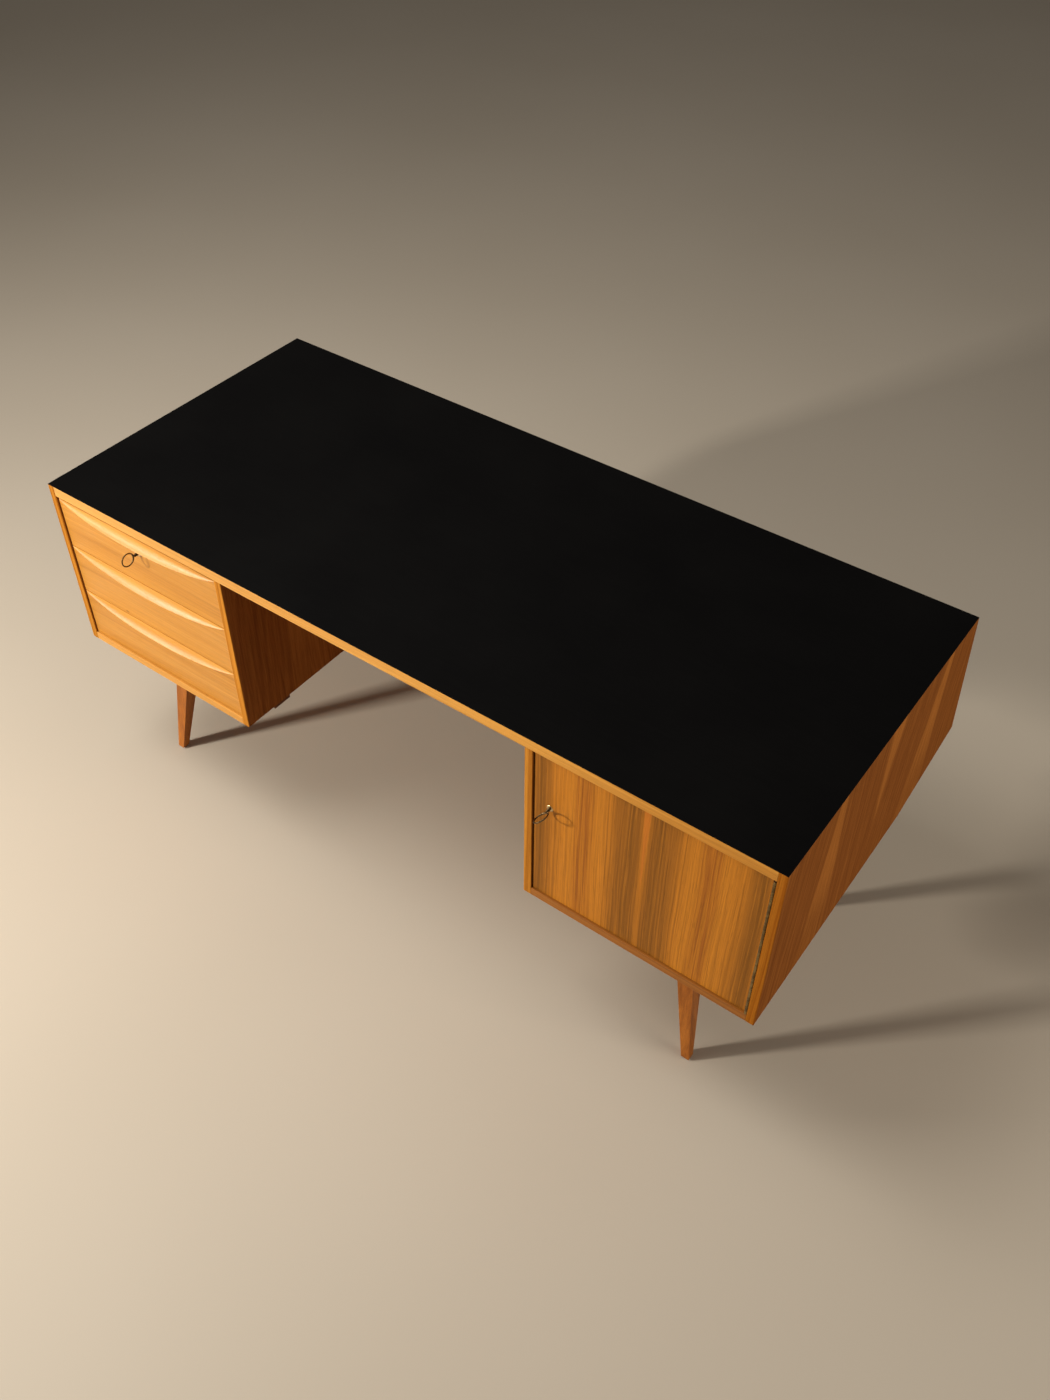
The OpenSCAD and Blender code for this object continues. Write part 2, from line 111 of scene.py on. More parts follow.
def add_world(colour, strength):
    world = bpy.data.worlds.new("studio")
    world.use_nodes = True
    background = world.node_tree.nodes["Background"]
    background.inputs["Color"].default_value = (*colour, 1)
    background.inputs["Strength"].default_value = strength
    bpy.context.scene.world = world


add_camera()
# Name, place, aim, size, watts, colour: a hard low key, a soft top and a weak fill for the right side
add_area_light("key_light", (-2.25, -2.85, 1.50), (0.0, -0.3, 0.45), 0.30, 132, (1.0, 0.95, 0.86))
add_area_light("top_light", (-1.1, -0.9, 3.3), (0.0, -0.1, 0.5), 1.6, 66, (1.0, 0.96, 0.90))
add_area_light("side_fill", (4.5, 0.3, 1.4), (0.84, 0.0, 0.5), 2.0, 62, (1.0, 0.92, 0.80))
add_world((1.0, 0.94, 0.86), 0.12)
bpy.context.scene.view_settings.view_transform = "Standard"


# ---- shader nodes ----------------------------------------------------------------------

class Shader:
    """A Principled material and short names for the nodes that feed it."""

    def __init__(self, name):
        self.mat = bpy.data.materials.new(name)
        self.mat.use_nodes = True
        self.tree = self.mat.node_tree
        self.bsdf = self.tree.nodes["Principled BSDF"]
        self.tex = self.tree.nodes.new("ShaderNodeTexCoord")

    def feed(self, socket, value):
        if isinstance(value, bpy.types.NodeSocket):
            self.tree.links.new(value, socket)
        elif socket.type == "RGBA" and len(value) == 3:
            socket.default_value = (*value, 1)
        else:
            socket.default_value = value

    def node(self, kind, inputs, **settings):
        made = self.tree.nodes.new("ShaderNode" + kind)
        for key, value in settings.items():
            setattr(made, key, value)
        for key, value in inputs.items():
            self.feed(made.inputs[key], value)
        return made

    def position(self):
        """Object coordinates, split. Every piece has its origin at the frame's origin."""
        split = self.node("SeparateXYZ", {0: self.tex.outputs["Object"]})
        return split.outputs[0], split.outputs[1], split.outputs[2]

    def facing(self):
        """The absolute parts of the surface normal."""
        split = self.node("SeparateXYZ", {0: self.tex.outputs["Normal"]})
        return [self.math("ABSOLUTE", split.outputs[i]) for i in range(3)]

    def math(self, operation, a, b=0.0, c=0.0):
        made = self.node("Math", {0: a, 1: b, 2: c}, operation=operation)
        return made.outputs[0]

    def vector(self, x, y, z):
        return self.node("CombineXYZ", {0: x, 1: y, 2: z}).outputs[0]

    def noise(self, vector, detail=2.0, rough=0.5, distortion=0.0):
        made = self.node("TexNoise", {"Vector": vector, "Scale": 1.0, "Detail": detail,
                                      "Roughness": rough, "Distortion": distortion})
        return made.outputs["Fac"]

    def cloud(self, per_metre, detail=2.0, rough=0.5):
        """Noise that is alike in all directions; the first number is features per metre."""
        scaled = [self.math("MULTIPLY", part, per_metre) for part in self.position()]
        return self.noise(self.vector(*scaled), detail, rough)

    def span(self, value, low, high, to_low=0.0, to_high=1.0, smooth=True):
        """Carries a value from one span to another and holds it at the ends."""
        made = self.node("MapRange", {"Value": value, "From Min": low, "From Max": high,
                                      "To Min": to_low, "To Max": to_high},
                         interpolation_type="SMOOTHSTEP" if smooth else "LINEAR")
        return made.outputs[0]

    def ramp(self, value, stops):
        """A colour ramp through (place, colour) stops."""
        made = self.node("ValToRGB", {"Fac": value})
        elements = made.color_ramp.elements
        while len(elements) < len(stops):
            elements.new(0.5)
        for element, (place, colour) in zip(elements, stops):
            element.position = place
            element.color = (*colour, 1)
        return made.outputs[0]

    def three_tones(self, value, places, tones):
        """A colour ramp through three tones at three places."""
        return self.ramp(value, list(zip(places, tones)))

    def mix(self, fac, a, b, blend="MIX"):
        # Of the node's many sockets, 0 is the factor, 6 and 7 are the colours, 2 is the result
        made = self.node("Mix", {0: fac}, data_type="RGBA", blend_type=blend)
        self.feed(made.inputs[6], a)
        self.feed(made.inputs[7], b)
        return made.outputs[2]

    def bump(self, height, distance, strength=1.0):
        made = self.node("Bump", {"Height": height, "Distance": distance, "Strength": strength})
        self.feed(self.bsdf.inputs["Normal"], made.outputs[0])

    def set(self, **values):
        names = {"colour": "Base Color", "rough": "Roughness", "metal": "Metallic",
                 "specular": "Specular IOR Level"}
        for key, value in values.items():
            self.feed(self.bsdf.inputs[names[key]], value)
        return self.mat


def grain_space(shader, along, seed):
    """(first across, second across, along) in metres, gently wavy, moved by a seed."""
    x, y, z = shader.position()
    first, second, length = {"x": (z, y, x), "y": (x, z, y), "z": (x, y, z)}[along]
    first = shader.math("ADD", first, seed)
    length = shader.math("ADD", length, seed * 3.7)
    slow = shader.vector(shader.math("MULTIPLY", first, 3.0),
                         shader.math("MULTIPLY", second, 3.0),
                         shader.math("MULTIPLY", length, 1.6))
    wave = shader.math("SUBTRACT", shader.noise(slow, 1.5), 0.5)
    return shader.math("MULTIPLY_ADD", wave, 0.035, first), second, length


def streaks(shader, space, across, along, detail=2.0, rough=0.55):
    """Noise drawn out along the grain; the two numbers are features per metre."""
    first, second, length = space
    return shader.noise(shader.vector(shader.math("MULTIPLY", first, across),
                                      shader.math("MULTIPLY", second, across),
                                      shader.math("MULTIPLY", length, along)), detail, rough)


def fibres(shader, space, colour, depth=0.16):
    """Fine darker fibres and short pores over a wood colour; also returns their height."""
    fine = streaks(shader, space, 520, 5.0, 3.0, 0.6)
    pores = streaks(shader, space, 1500, 34.0, 1.0, 0.5)
    lines = shader.span(fine, 0.35, 0.68)
    dashes = shader.span(pores, 0.60, 0.70)
    shade = shader.math("MULTIPLY_ADD", lines, depth, 1.0 - depth * 0.62)
    shade = shader.math("MULTIPLY_ADD", dashes, -depth * 1.1, shade)
    grey = shader.node("CombineColor", {0: shade, 1: shade, 2: shade}).outputs[0]
    height = shader.math("MULTIPLY_ADD", dashes, -0.6, shader.math("MULTIPLY", fine, 0.5))
    return shader.mix(1.0, colour, grey, "MULTIPLY"), height


def finish_wood(shader, space, colour, rough, depth, specular=0.15, bump=0.00012):
    """Fibres and pores over a wood colour, with an uneven sheen; depth is how dark they are."""
    colour, height = fibres(shader, space, colour, depth)
    blotch = streaks(shader, space, 9, 3.0)
    roughness = shader.span(blotch, 0.2, 0.8, rough - 0.05, rough + 0.07, False)
    shader.bump(height, bump, 0.6)
    return shader.set(colour=colour, rough=roughness, specular=specular)


# Wood tones, light to dark
GOLD = (0.68, 0.315, 0.052)
AMBER = (0.58, 0.245, 0.034)
HONEY = (0.48, 0.190, 0.024)
RUSSET = (0.38, 0.140, 0.017)
CHESTNUT = (0.29, 0.098, 0.012)
UMBER = (0.20, 0.062, 0.008)


def plain_wood(name, along, tones, seed=0.0, rough=0.42, band=42, depth=0.16):
    """Straight-grained wood: three tones in soft bands along the grain."""
    shader = Shader(name)
    space = grain_space(shader, along, seed)
    broad = streaks(shader, space, band, 0.9, 2.0)
    narrow = streaks(shader, space, band * 4.5, 1.4, 2.0)
    value = shader.math("MULTIPLY_ADD", narrow, 0.38, shader.math("MULTIPLY", broad, 0.62))
    colour = shader.three_tones(value, (0.36, 0.48, 0.62), tones)
    return finish_wood(shader, space, colour, rough, depth)


# ---- surfaces --------------------------------------------------------------------------

FRONT_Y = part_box("left_outer_side")[0].y
LEAF_WIDTH = 0.208
FIRST_FLAME = 0.19  # behind the carcass's front edges


def side_veneer(name, edge_tones):
    """An upright board: dark veneer leaves, each with a lighter flame down its middle."""
    shader = Shader(name)
    _, y, z = shader.position()
    space = grain_space(shader, "z", 0.0)
    sway = shader.math("SUBTRACT", streaks(shader, space, 9, 2.6, 2.0), 0.5)
    ripple = shader.math("SUBTRACT", streaks(shader, space, 60, 5.0, 2.0), 0.5)
    place = shader.math("ADD", y, LEAF_WIDTH / 2 - FRONT_Y - FIRST_FLAME)
    place = shader.math("MULTIPLY_ADD", sway, 0.030, place)
    place = shader.math("MULTIPLY_ADD", ripple, 0.010, place)
    step = shader.math("DIVIDE", place, LEAF_WIDTH)
    number = shader.math("FLOOR", step)
    centred = shader.math("SUBTRACT", shader.math("FRACT", step), 0.5)
    local = shader.math("MULTIPLY", centred, LEAF_WIDTH)
    # Every other flame widens downwards and the ones between them narrow
    depth = shader.math("SUBTRACT", cad_hi.z, z)
    odd = shader.math("FLOORED_MODULO", number, 2.0)
    widening = shader.math("MULTIPLY_ADD", depth, 0.11, 0.012)
    narrowing = shader.math("MULTIPLY_ADD", depth, -0.10, 0.027)
    half = shader.math("ADD", shader.math("MULTIPLY", odd, narrowing),
                       shader.math("MULTIPLY", shader.math("SUBTRACT", 1.0, odd), widening))
    reach = shader.math("SUBTRACT", shader.math("ABSOLUTE", local), half)
    flame = shader.span(reach, -0.006, 0.005, 1.0, 0.0)
    flame = shader.math("MULTIPLY", flame, shader.span(depth, 0.16, 0.36, 1.0, 0.25))
    rings = shader.noise(shader.vector(shader.math("MULTIPLY", reach, 95), number, 0.0), 3.0)
    fine = streaks(shader, space, 190, 1.6, 2.5)
    tone = shader.math("MULTIPLY_ADD", flame, 0.26, shader.math("MULTIPLY", rings, 0.42))
    tone = shader.math("MULTIPLY_ADD", fine, 0.34, tone)
    veneer = shader.ramp(tone, [(0.26, (0.21, 0.064, 0.017)), (0.38, (0.28, 0.093, 0.022)),
                                (0.50, (0.35, 0.123, 0.028)), (0.68, (0.45, 0.160, 0.035))])
    edge_band = streaks(shader, space, 160, 1.3)
    edging = shader.three_tones(edge_band, (0.35, 0.5, 0.65), edge_tones)
    sideways = shader.facing()[0]
    near_edge = shader.span(y, FRONT_Y + 0.0018, FRONT_Y + 0.0024, 1.0, 0.0, False)
    is_edge = shader.math("MAXIMUM", shader.math("LESS_THAN", sideways, 0.6), near_edge)
    return finish_wood(shader, space, shader.mix(is_edge, veneer, edging), 0.48, 0.18, 0.0)


def door_veneer():
    """Two book-matched leaves that meet on an orange line among dark heart streaks."""
    leaf_width = 0.235
    seam_left_of_middle = 0.003
    shader = Shader("door_bookmatched_veneer")
    lo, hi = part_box("door_panel")
    x, _, z = shader.position()
    space = grain_space(shader, "z", 1.3)
    sway = shader.math("SUBTRACT", streaks(shader, space, 6, 2.4, 2.0), 0.5)
    ripple = shader.math("SUBTRACT", streaks(shader, space, 70, 4.0, 2.0), 0.5)
    across = shader.math("SUBTRACT", x, (lo.x + hi.x) / 2 - seam_left_of_middle)
    across = shader.math("MULTIPLY_ADD", sway, 0.016, across)
    across = shader.math("MULTIPLY_ADD", ripple, 0.006, across)
    mirrored = shader.math("DIVIDE", shader.math("ABSOLUTE", across), leaf_width)
    light = (0.58, 0.210, 0.020)
    medium = (0.50, 0.177, 0.017)
    brown = (0.34, 0.122, 0.014)
    olive = (0.245, 0.090, 0.011)
    colour = shader.ramp(mirrored, [
        (0.000, medium), (0.045, brown), (0.100, olive), (0.190, brown),
        (0.240, brown), (0.300, medium), (0.380, light), (0.460, medium),
        (0.540, medium), (0.620, light), (0.760, medium),
        (0.830, brown), (0.890, olive), (0.930, brown), (0.975, medium)])
    # Fine lines that both leaves share, and a group of redder ones
    drawn_out = shader.math("MULTIPLY", z, 1.5)
    leaf = shader.vector(shader.math("MULTIPLY", mirrored, 60), 0.0, drawn_out)
    shared = shader.noise(leaf, 5.0, 0.68, 0.3)
    heart = shader.span(mirrored, 0.20, 0.36, 0.72, 0.40)
    darker = shader.math("MULTIPLY", shader.span(shared, 0.48, 0.64), heart)
    colour = shader.mix(darker, colour, (0.185, 0.068, 0.009))
    colour = shader.mix(shader.span(shared, 0.32, 0.48, 0.42, 0.0), colour, (0.63, 0.232, 0.022))
    group = shader.math("MULTIPLY", shader.span(mirrored, 0.42, 0.47),
                        shader.span(mirrored, 0.56, 0.61, 1.0, 0.0))
    redder = shader.math("MULTIPLY", group, shader.span(shared, 0.46, 0.60, 0.12, 0.80))
    colour = shader.mix(redder, colour, (0.32, 0.094, 0.013))
    # The orange streak where the leaves meet, fading out downwards
    height = shader.span(z, lo.z + 0.13, hi.z, 0.0, 1.0, False)
    past = shader.math("MULTIPLY_ADD", height, -0.026, mirrored)
    seam = shader.math("MULTIPLY", shader.span(past, -0.008, 0.006, 1.0, 0.0),
                       shader.span(height, 0.0, 0.35, 0.0, 0.85))
    colour = shader.mix(seam, colour, (0.56, 0.175, 0.020))
    pores = streaks(shader, space, 420, 7.0, 2.0, 0.6)
    colour = shader.mix(shader.span(pores, 0.56, 0.70, 0.0, 0.30), colour, olive)
    return finish_wood(shader, space, colour, 0.42, 0.20, 0.08)


def drawer_wood():
    """Solid light fronts with level grain, a few darker lines and a small knot."""
    shader = Shader("drawer_front_wood")
    space = grain_space(shader, "x", 0.4)
    x, _, z = shader.position()
    broad = streaks(shader, space, 16, 0.7, 2.0)
    narrow = streaks(shader, space, 120, 1.1, 2.5)
    value = shader.math("MULTIPLY_ADD", narrow, 0.5, shader.math("MULTIPLY", broad, 0.5))
    colour = shader.ramp(value, [(0.36, HONEY), (0.46, AMBER), (0.56, (0.62, 0.275, 0.045)),
                                 (0.68, (0.70, 0.330, 0.064))])
    # The knot, a flat oval low on the middle front
    lo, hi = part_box("middle_drawer_front")
    aside = shader.math("SUBTRACT", x, lo.x + 0.30 * (hi.x - lo.x))
    above = shader.math("SUBTRACT", z, lo.z + 0.006)
    flat = shader.vector(aside, 0.0, shader.math("MULTIPLY", above, 1.9))
    far = shader.node("VectorMath", {0: flat}, operation="LENGTH").outputs["Value"]
    colour = shader.mix(shader.span(far, 0.0015, 0.007, 0.75, 0.0), colour, UMBER)
    return finish_wood(shader, space, colour, 0.36, 0.13, 0.25)


def flat_board_wood(name, seed, edge_tones, painted_light_share):
    """Top board and pedestal bottoms: solid edging in front, veneer elsewhere, with painted light on
    the edging's left end.
    """
    shader = Shader(name)
    space = grain_space(shader, "x", seed)
    band = streaks(shader, space, 130, 1.2, 2.5)
    broad = streaks(shader, space, 20, 0.8)
    value = shader.math("MULTIPLY_ADD", band, 0.5, shader.math("MULTIPLY", broad, 0.5))
    places = (0.36, 0.5, 0.62)
    edging = shader.three_tones(value, places, edge_tones)
    # Painted light: the edging is paler towards the left end, nearer the key light, by the share
    # given as the last argument
    x, y, _ = shader.position()
    painted_light_fac = shader.span(x, cad_lo.x, 0.8 * cad_hi.x, painted_light_share, 0.0)
    edging = shader.mix(painted_light_fac, edging, (0.74, 0.40, 0.115))
    veneer = shader.three_tones(value, places, (UMBER, CHESTNUT, HONEY))
    forwards = shader.facing()[1]
    near_edge = shader.span(y, FRONT_Y + 0.006, FRONT_Y + 0.0065, 1.0, 0.0, False)
    is_edge = shader.math("MAXIMUM", shader.math("GREATER_THAN", forwards, 0.6), near_edge)
    return finish_wood(shader, space, shader.mix(is_edge, veneer, edging), 0.40, 0.16)


def laminate():
    """Matt black laminate with a pearl texture and faint wear."""
    shader = Shader("black_laminate")
    x, y, _ = shader.position()
    pearl = shader.cloud(900)
    patches = shader.cloud(5, 3.0)
    wipe = shader.noise(shader.vector(shader.math("MULTIPLY", x, 9),
                                      shader.math("MULTIPLY", y, 160), 0.0), 3.0)
    wear = shader.math("MULTIPLY_ADD", wipe, 0.3, shader.math("MULTIPLY", patches, 0.7))
    colour = shader.ramp(wear, [(0.35, (0.0016, 0.0014, 0.0015)), (0.7, (0.0028, 0.0025, 0.0024))])
    shader.bump(pearl, 0.00008, 0.7)
    return shader.set(colour=colour, rough=shader.span(wear, 0.3, 0.7, 0.50, 0.60, False),
                      specular=0.07)


def brass(name, bright, dull, rough, spots_per_metre=420):
    """Brass with tarnish in spots, rougher where it is dull."""
    shader = Shader(name)
    spots = shader.cloud(spots_per_metre, 4.0, 0.6)
    fine = shader.cloud(spots_per_metre * 9)
    colour = shader.ramp(spots, [(0.36, dull), (0.62, bright)])
    shader.bump(fine, 0.00003, 0.5)
    return shader.set(colour=colour, metal=1.0,
                      rough=shader.span(spots, 0.3, 0.7, rough + 0.16, rough, False))


def steel():
    """Zinc-plated steel with a spangled grain and fine drawn lines."""
    shader = Shader("zinc_plated_steel")
    x, y, z = shader.position()
    grain = shader.cloud(260, 3.0)
    lines = shader.noise(shader.vector(shader.math("MULTIPLY", x, 2600),
                                       shader.math("MULTIPLY", y, 60),
                                       shader.math("MULTIPLY", z, 160)), 1.0)
    colour = shader.ramp(grain, [(0.3, (0.40, 0.40, 0.41)), (0.7, (0.58, 0.58, 0.59))])
    shader.bump(lines, 0.00002, 0.5)
    return shader.set(colour=colour, metal=1.0, rough=shader.span(grain, 0.3, 0.7, 0.42, 0.28))


def beech(name, along, seed):
    """Pale beech with the short darker flecks of its rays."""
    shader = Shader(name)
    space = grain_space(shader, along, seed)
    tone = streaks(shader, space, 70, 1.2)
    colour = shader.ramp(tone, [(0.35, (0.50, 0.34, 0.19)), (0.65, (0.64, 0.46, 0.28))])
    fleck = shader.span(streaks(shader, space, 900, 120, 1.0), 0.66, 0.72)
    colour = shader.mix(shader.math("MULTIPLY", fleck, 0.45), colour, (0.33, 0.19, 0.09))
    return finish_wood(shader, space, colour, 0.52, 0.10)


def plywood():
    """Face veneer above and below, thin layers on the edges."""
    shader = Shader("drawer_plywood")
    space = grain_space(shader, "x", 5.0)
    z = shader.position()[2]
    upwards = shader.facing()[2]
    face = shader.ramp(streaks(shader, space, 45, 1.0),
                       [(0.35, (0.48, 0.33, 0.19)), (0.65, (0.62, 0.46, 0.29))])
    layer_pairs_per_metre = 600.0
    layer = shader.math("FRACT", shader.math("MULTIPLY", z, layer_pairs_per_metre))
    plies = shader.ramp(layer, [(0.0, (0.55, 0.40, 0.24)), (0.45, (0.52, 0.37, 0.21)),
                                (0.55, (0.27, 0.16, 0.08)), (0.98, (0.30, 0.18, 0.09))])
    colour = shader.mix(shader.math("LESS_THAN", upwards, 0.6), face, plies)
    return finish_wood(shader, space, colour, 0.58, 0.10)


def floor_paint():
    """A plain pale floor with faint patches."""
    shader = Shader("pale_floor")
    colour = shader.ramp(shader.cloud(0.7), [(0.3, (0.52, 0.45, 0.36)), (0.7, (0.55, 0.48, 0.39))])
    shader.bump(shader.cloud(220), 0.0001, 0.3)
    return shader.set(colour=colour, rough=0.75)


# Groups of three tones, dark to light, and the metals
LEG_TONES = ((0.27, 0.076, 0.010), (0.36, 0.109, 0.014), (0.45, 0.145, 0.019))
# The rail tones are darkened: painted shade for the rails' place in the shade under the pedestals
RAIL_TONES_WITH_PAINTED_SHADE = ((0.09, 0.030, 0.008), (0.13, 0.042, 0.010), (0.17, 0.056, 0.012))
INNER_TONES = (UMBER, CHESTNUT, (0.40, 0.15, 0.03))
ORANGE_EDGE = ((0.27, 0.075, 0.008), (0.34, 0.104, 0.010), (0.42, 0.140, 0.014))
DARK_EDGE = ((0.22, 0.068, 0.010), (0.29, 0.097, 0.014), (0.37, 0.131, 0.019))
LIGHT_EDGE = ((0.37, 0.128, 0.017), (0.48, 0.183, 0.025), (0.60, 0.245, 0.035))
# The hinge's brass is a darker copy of the roses' brass: painted shade for the door gap the hinge
# sits in; locks, pins and hinge screws use it too
BRASS_WITH_PAINTED_SHADE = brass("hinge_brass_painted_shade", (0.34, 0.235, 0.085), (0.15, 0.095, 0.035), 0.18, 60)
ROSE_BRASS = brass("rose_brass", (0.80, 0.62, 0.34), (0.52, 0.36, 0.17), 0.20)
KEY_BRASS = brass("aged_key_brass", (0.20, 0.130, 0.060), (0.030, 0.019, 0.010), 0.30)
STEEL = steel()
SIDES = {
    "left_outer_side": side_veneer("left_outer_veneer", (CHESTNUT, RUSSET, HONEY)),
    "left_inner_side": side_veneer("left_inner_veneer", LIGHT_EDGE),
    "right_inner_side": side_veneer("right_inner_veneer", LIGHT_EDGE),
    "right_outer_side": side_veneer("right_outer_veneer", ORANGE_EDGE),
}
# The last number is the share of painted light, paler edging towards the left end
FLATS = {
    "top_board": flat_board_wood("worktop_edge_wood", 2.1, (HONEY, AMBER, GOLD), 0.55),
    "left_bottom": flat_board_wood("left_bottom_wood", 2.6, (HONEY, AMBER, GOLD), 0.30),
    "right_bottom": flat_board_wood("right_bottom_wood", 3.1, DARK_EDGE, 0.0),
}
MATERIALS = {
    "black_laminate": laminate(),
    "inner_veneer": plain_wood("inner_veneer", "x", INNER_TONES, 3.3),
    "drawer_front_wood": drawer_wood(),
    "door_veneer": door_veneer(),
    "leg_wood": plain_wood("leg_wood", "z", LEG_TONES, 4.2, 0.38, 60, 0.2),
    "rail_wood": plain_wood("rail_wood", "x", RAIL_TONES_WITH_PAINTED_SHADE, 4.7, 0.5, 60, 0.2),
    "drawer_box_wood": beech("drawer_box_beech", "y", 6.0),
    "drawer_back_wood": beech("drawer_back_beech", "x", 6.6),
    "drawer_plywood": plywood(),
    "runner_wood": beech("runner_beech", "y", 7.5),
    "brass": BRASS_WITH_PAINTED_SHADE,
    "steel": STEEL,
}


# ---- pieces ----------------------------------------------------------------------------

def add_piece(name, bm, material, body, stands_for=(), sharp=20.0, smooth=False):
    """Turns a bmesh in frame coordinates into a piece that rides on a body."""
    bmesh.ops.recalc_face_normals(bm, faces=bm.faces)
    mesh = bpy.data.meshes.new(name)
    bm.to_mesh(mesh)
    bm.free()
    for face in mesh.polygons:
        face.use_smooth = smooth
    if smooth:
        mesh.set_sharp_from_angle(angle=math.radians(sharp))
    mesh.materials.append(material)
    piece = bpy.data.objects.new(name, mesh)
    bpy.context.scene.collection.objects.link(piece)
    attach(piece, body)
    if stands_for:
        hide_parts(*stands_for)
    return piece


def welded_copy(node):
    """The CAD node's mesh with its corners joined, as a bmesh."""
    bm = bmesh.new()
    bm.from_mesh(NODES[node].data)
    bmesh.ops.remove_doubles(bm, verts=bm.verts, dist=1e-6)
    return bm


def clean_copy(node):
    """The CAD node's solid with its faces whole again, as a bmesh."""
    bm = welded_copy(node)
    bmesh.ops.dissolve_limit(bm, angle_limit=0.01, verts=bm.verts, edges=bm.edges)
    return bm


def soften(bm, width, shortest=0.0024, steepest=0.6):
    """Rounds every arris that is longer than a bore's facets."""
    arrises = [e for e in bm.edges if len(e.link_faces) == 2
               and e.calc_face_angle(0.0) > steepest and e.calc_length() > shortest]
    bmesh.ops.bevel(bm, geom=arrises, offset=width, segments=2, profile=0.5,
                    affect="EDGES", clamp_overlap=True)
    return bm


def add_board(node, material, arris, smooth=False):
    """The CAD node's own shape with arrises rounded by the given width."""
    add_piece(node + "_finished", soften(clean_copy(node), arris), material, BODY_OF[node],
              (node,), 28.0, smooth)


def lathe(bm, profile, matrix, steps=40):
    """Turns (along, radius) points about the matrix's Y axis into a closed surface."""
    rings = []
    for along, radius in profile:
        if radius < 1e-7:
            rings.append([bm.verts.new(matrix @ Vector((0, along, 0)))])
            continue
        rings.append([bm.verts.new(matrix @ Vector((radius * math.cos(a), along,
                                                    radius * math.sin(a))))
                      for a in (2 * math.pi * i / steps for i in range(steps))])
    for one, two in zip(rings, rings[1:]):
        for i in range(steps):
            j = (i + 1) % steps
            corners = [one[i % len(one)], one[j % len(one)], two[j % len(two)], two[i % len(two)]]
            unique = list(dict.fromkeys(corners))
            if len(unique) > 2:
                bm.faces.new(unique)
    return bm


def torus(bm, centre, u, v, major, minor, steps=72, sides=16, swell=0.0):
    """A ring in the plane of u and v; swell thickens it towards -u."""
    w = u.cross(v)
    rings = []
    for i in range(steps):
        a = 2 * math.pi * i / steps
        out = u * math.cos(a) + v * math.sin(a)
        wire = minor * (1 + swell * max(0.0, math.cos(a)) ** 6)
        rings.append([bm.verts.new(centre + out * (major + wire * math.cos(b))
                                   + w * wire * math.sin(b))
                      for b in (2 * math.pi * k / sides for k in range(sides))])
    for i in range(steps):
        one, two = rings[i], rings[(i + 1) % steps]
        for k in range(sides):
            n = (k + 1) % sides
            bm.faces.new((one[k], one[n], two[n], two[k]))
    return bm


def prism(bm, outline, thickness, matrix):
    """Extrudes an outline in the matrix's XY plane, centred on its Z axis."""
    half = thickness / 2
    low = [bm.verts.new(matrix @ Vector((x, y, -half))) for x, y in outline]
    high = [bm.verts.new(matrix @ Vector((x, y, half))) for x, y in outline]
    count = len(outline)
    bm.faces.new(low[::-1])
    bm.faces.new(high)
    for i in range(count):
        j = (i + 1) % count
        bm.faces.new((low[i], low[j], high[j], high[i]))
    return bm


# Boards, legs and rails, drawer boxes and runners, then the plain metal parts
for node, material in {**SIDES, **FLATS}.items():
    add_board(node, material, 0.7 * MM)
add_board("top_laminate", MATERIALS["black_laminate"], 0.3 * MM)
for node in NODES:
    slot = SLOT_OF[node]
    if slot == "inner_veneer":
        add_board(node, MATERIALS[slot], 0.5 * MM)
    elif node.endswith("_leg"):
        add_board(node, MATERIALS["leg_wood"], 1.6 * MM)
    elif node.endswith("_rail"):
        add_board(node, MATERIALS["rail_wood"], 1.2 * MM)
    elif slot == "drawer_box_wood":
        wood = "drawer_back_wood" if node.endswith("_back") else slot
        add_board(node, MATERIALS[wood], 0.8 * MM)
    elif slot in ("drawer_plywood", "runner_wood"):
        add_board(node, MATERIALS[slot], 0.4 * MM)
    elif node in ("hinge_side_leaf", "hinge_door_leaf", "hinge_pin", "shelf_pins",
                  "door_lock_case", "drawer_lock_case", "door_bolt", "drawer_bolt"):
        add_board(node, MATERIALS[slot], 0.3 * MM, True)
add_board("door_panel", MATERIALS["door_veneer"], 0.8 * MM)


# ---- carved drawer fronts ----------------------------------------------------------------

GRIP_DROP = 22.5 * MM   # from the top edge to the nose
FLARE_START = 0.15      # the flare's slope at the top edge, as a share of a straight flare's
NOSE_R = 0.7 * MM
FRONT_ARRIS = 0.6 * MM
GRIP_FULLNESS = 1.5     # the grip's depth falls off with this power of a cosine
LEAST_GRIP = 0.02       # its share that is left at the drawer's ends
COLUMNS = 120
FLARE_STEPS = 24


def grip_profile(grip_out):
    """(out, down) from the drawer's top edge: a flare that steepens to a thin nose, and back."""
    points = []
    reach = grip_out - 0.3 * NOSE_R
    for i in range(FLARE_STEPS + 1):
        t = i / FLARE_STEPS
        points.append((reach * t * (FLARE_START + (1 - FLARE_START) * t), GRIP_DROP * t))
    for degrees in range(-25, 101, 25):
        a = math.radians(degrees)
        points.append((grip_out - NOSE_R + NOSE_R * math.cos(a),
                       GRIP_DROP + NOSE_R * (0.9 + math.sin(a))))
    under = GRIP_DROP + 2 * NOSE_R
    points += [(grip_out * 0.55, under + 0.4 * MM), (grip_out * 0.22, under + 1.0 * MM),
               (0.6 * MM, under + 1.9 * MM), (0.0, under + 3.4 * MM)]
    return points


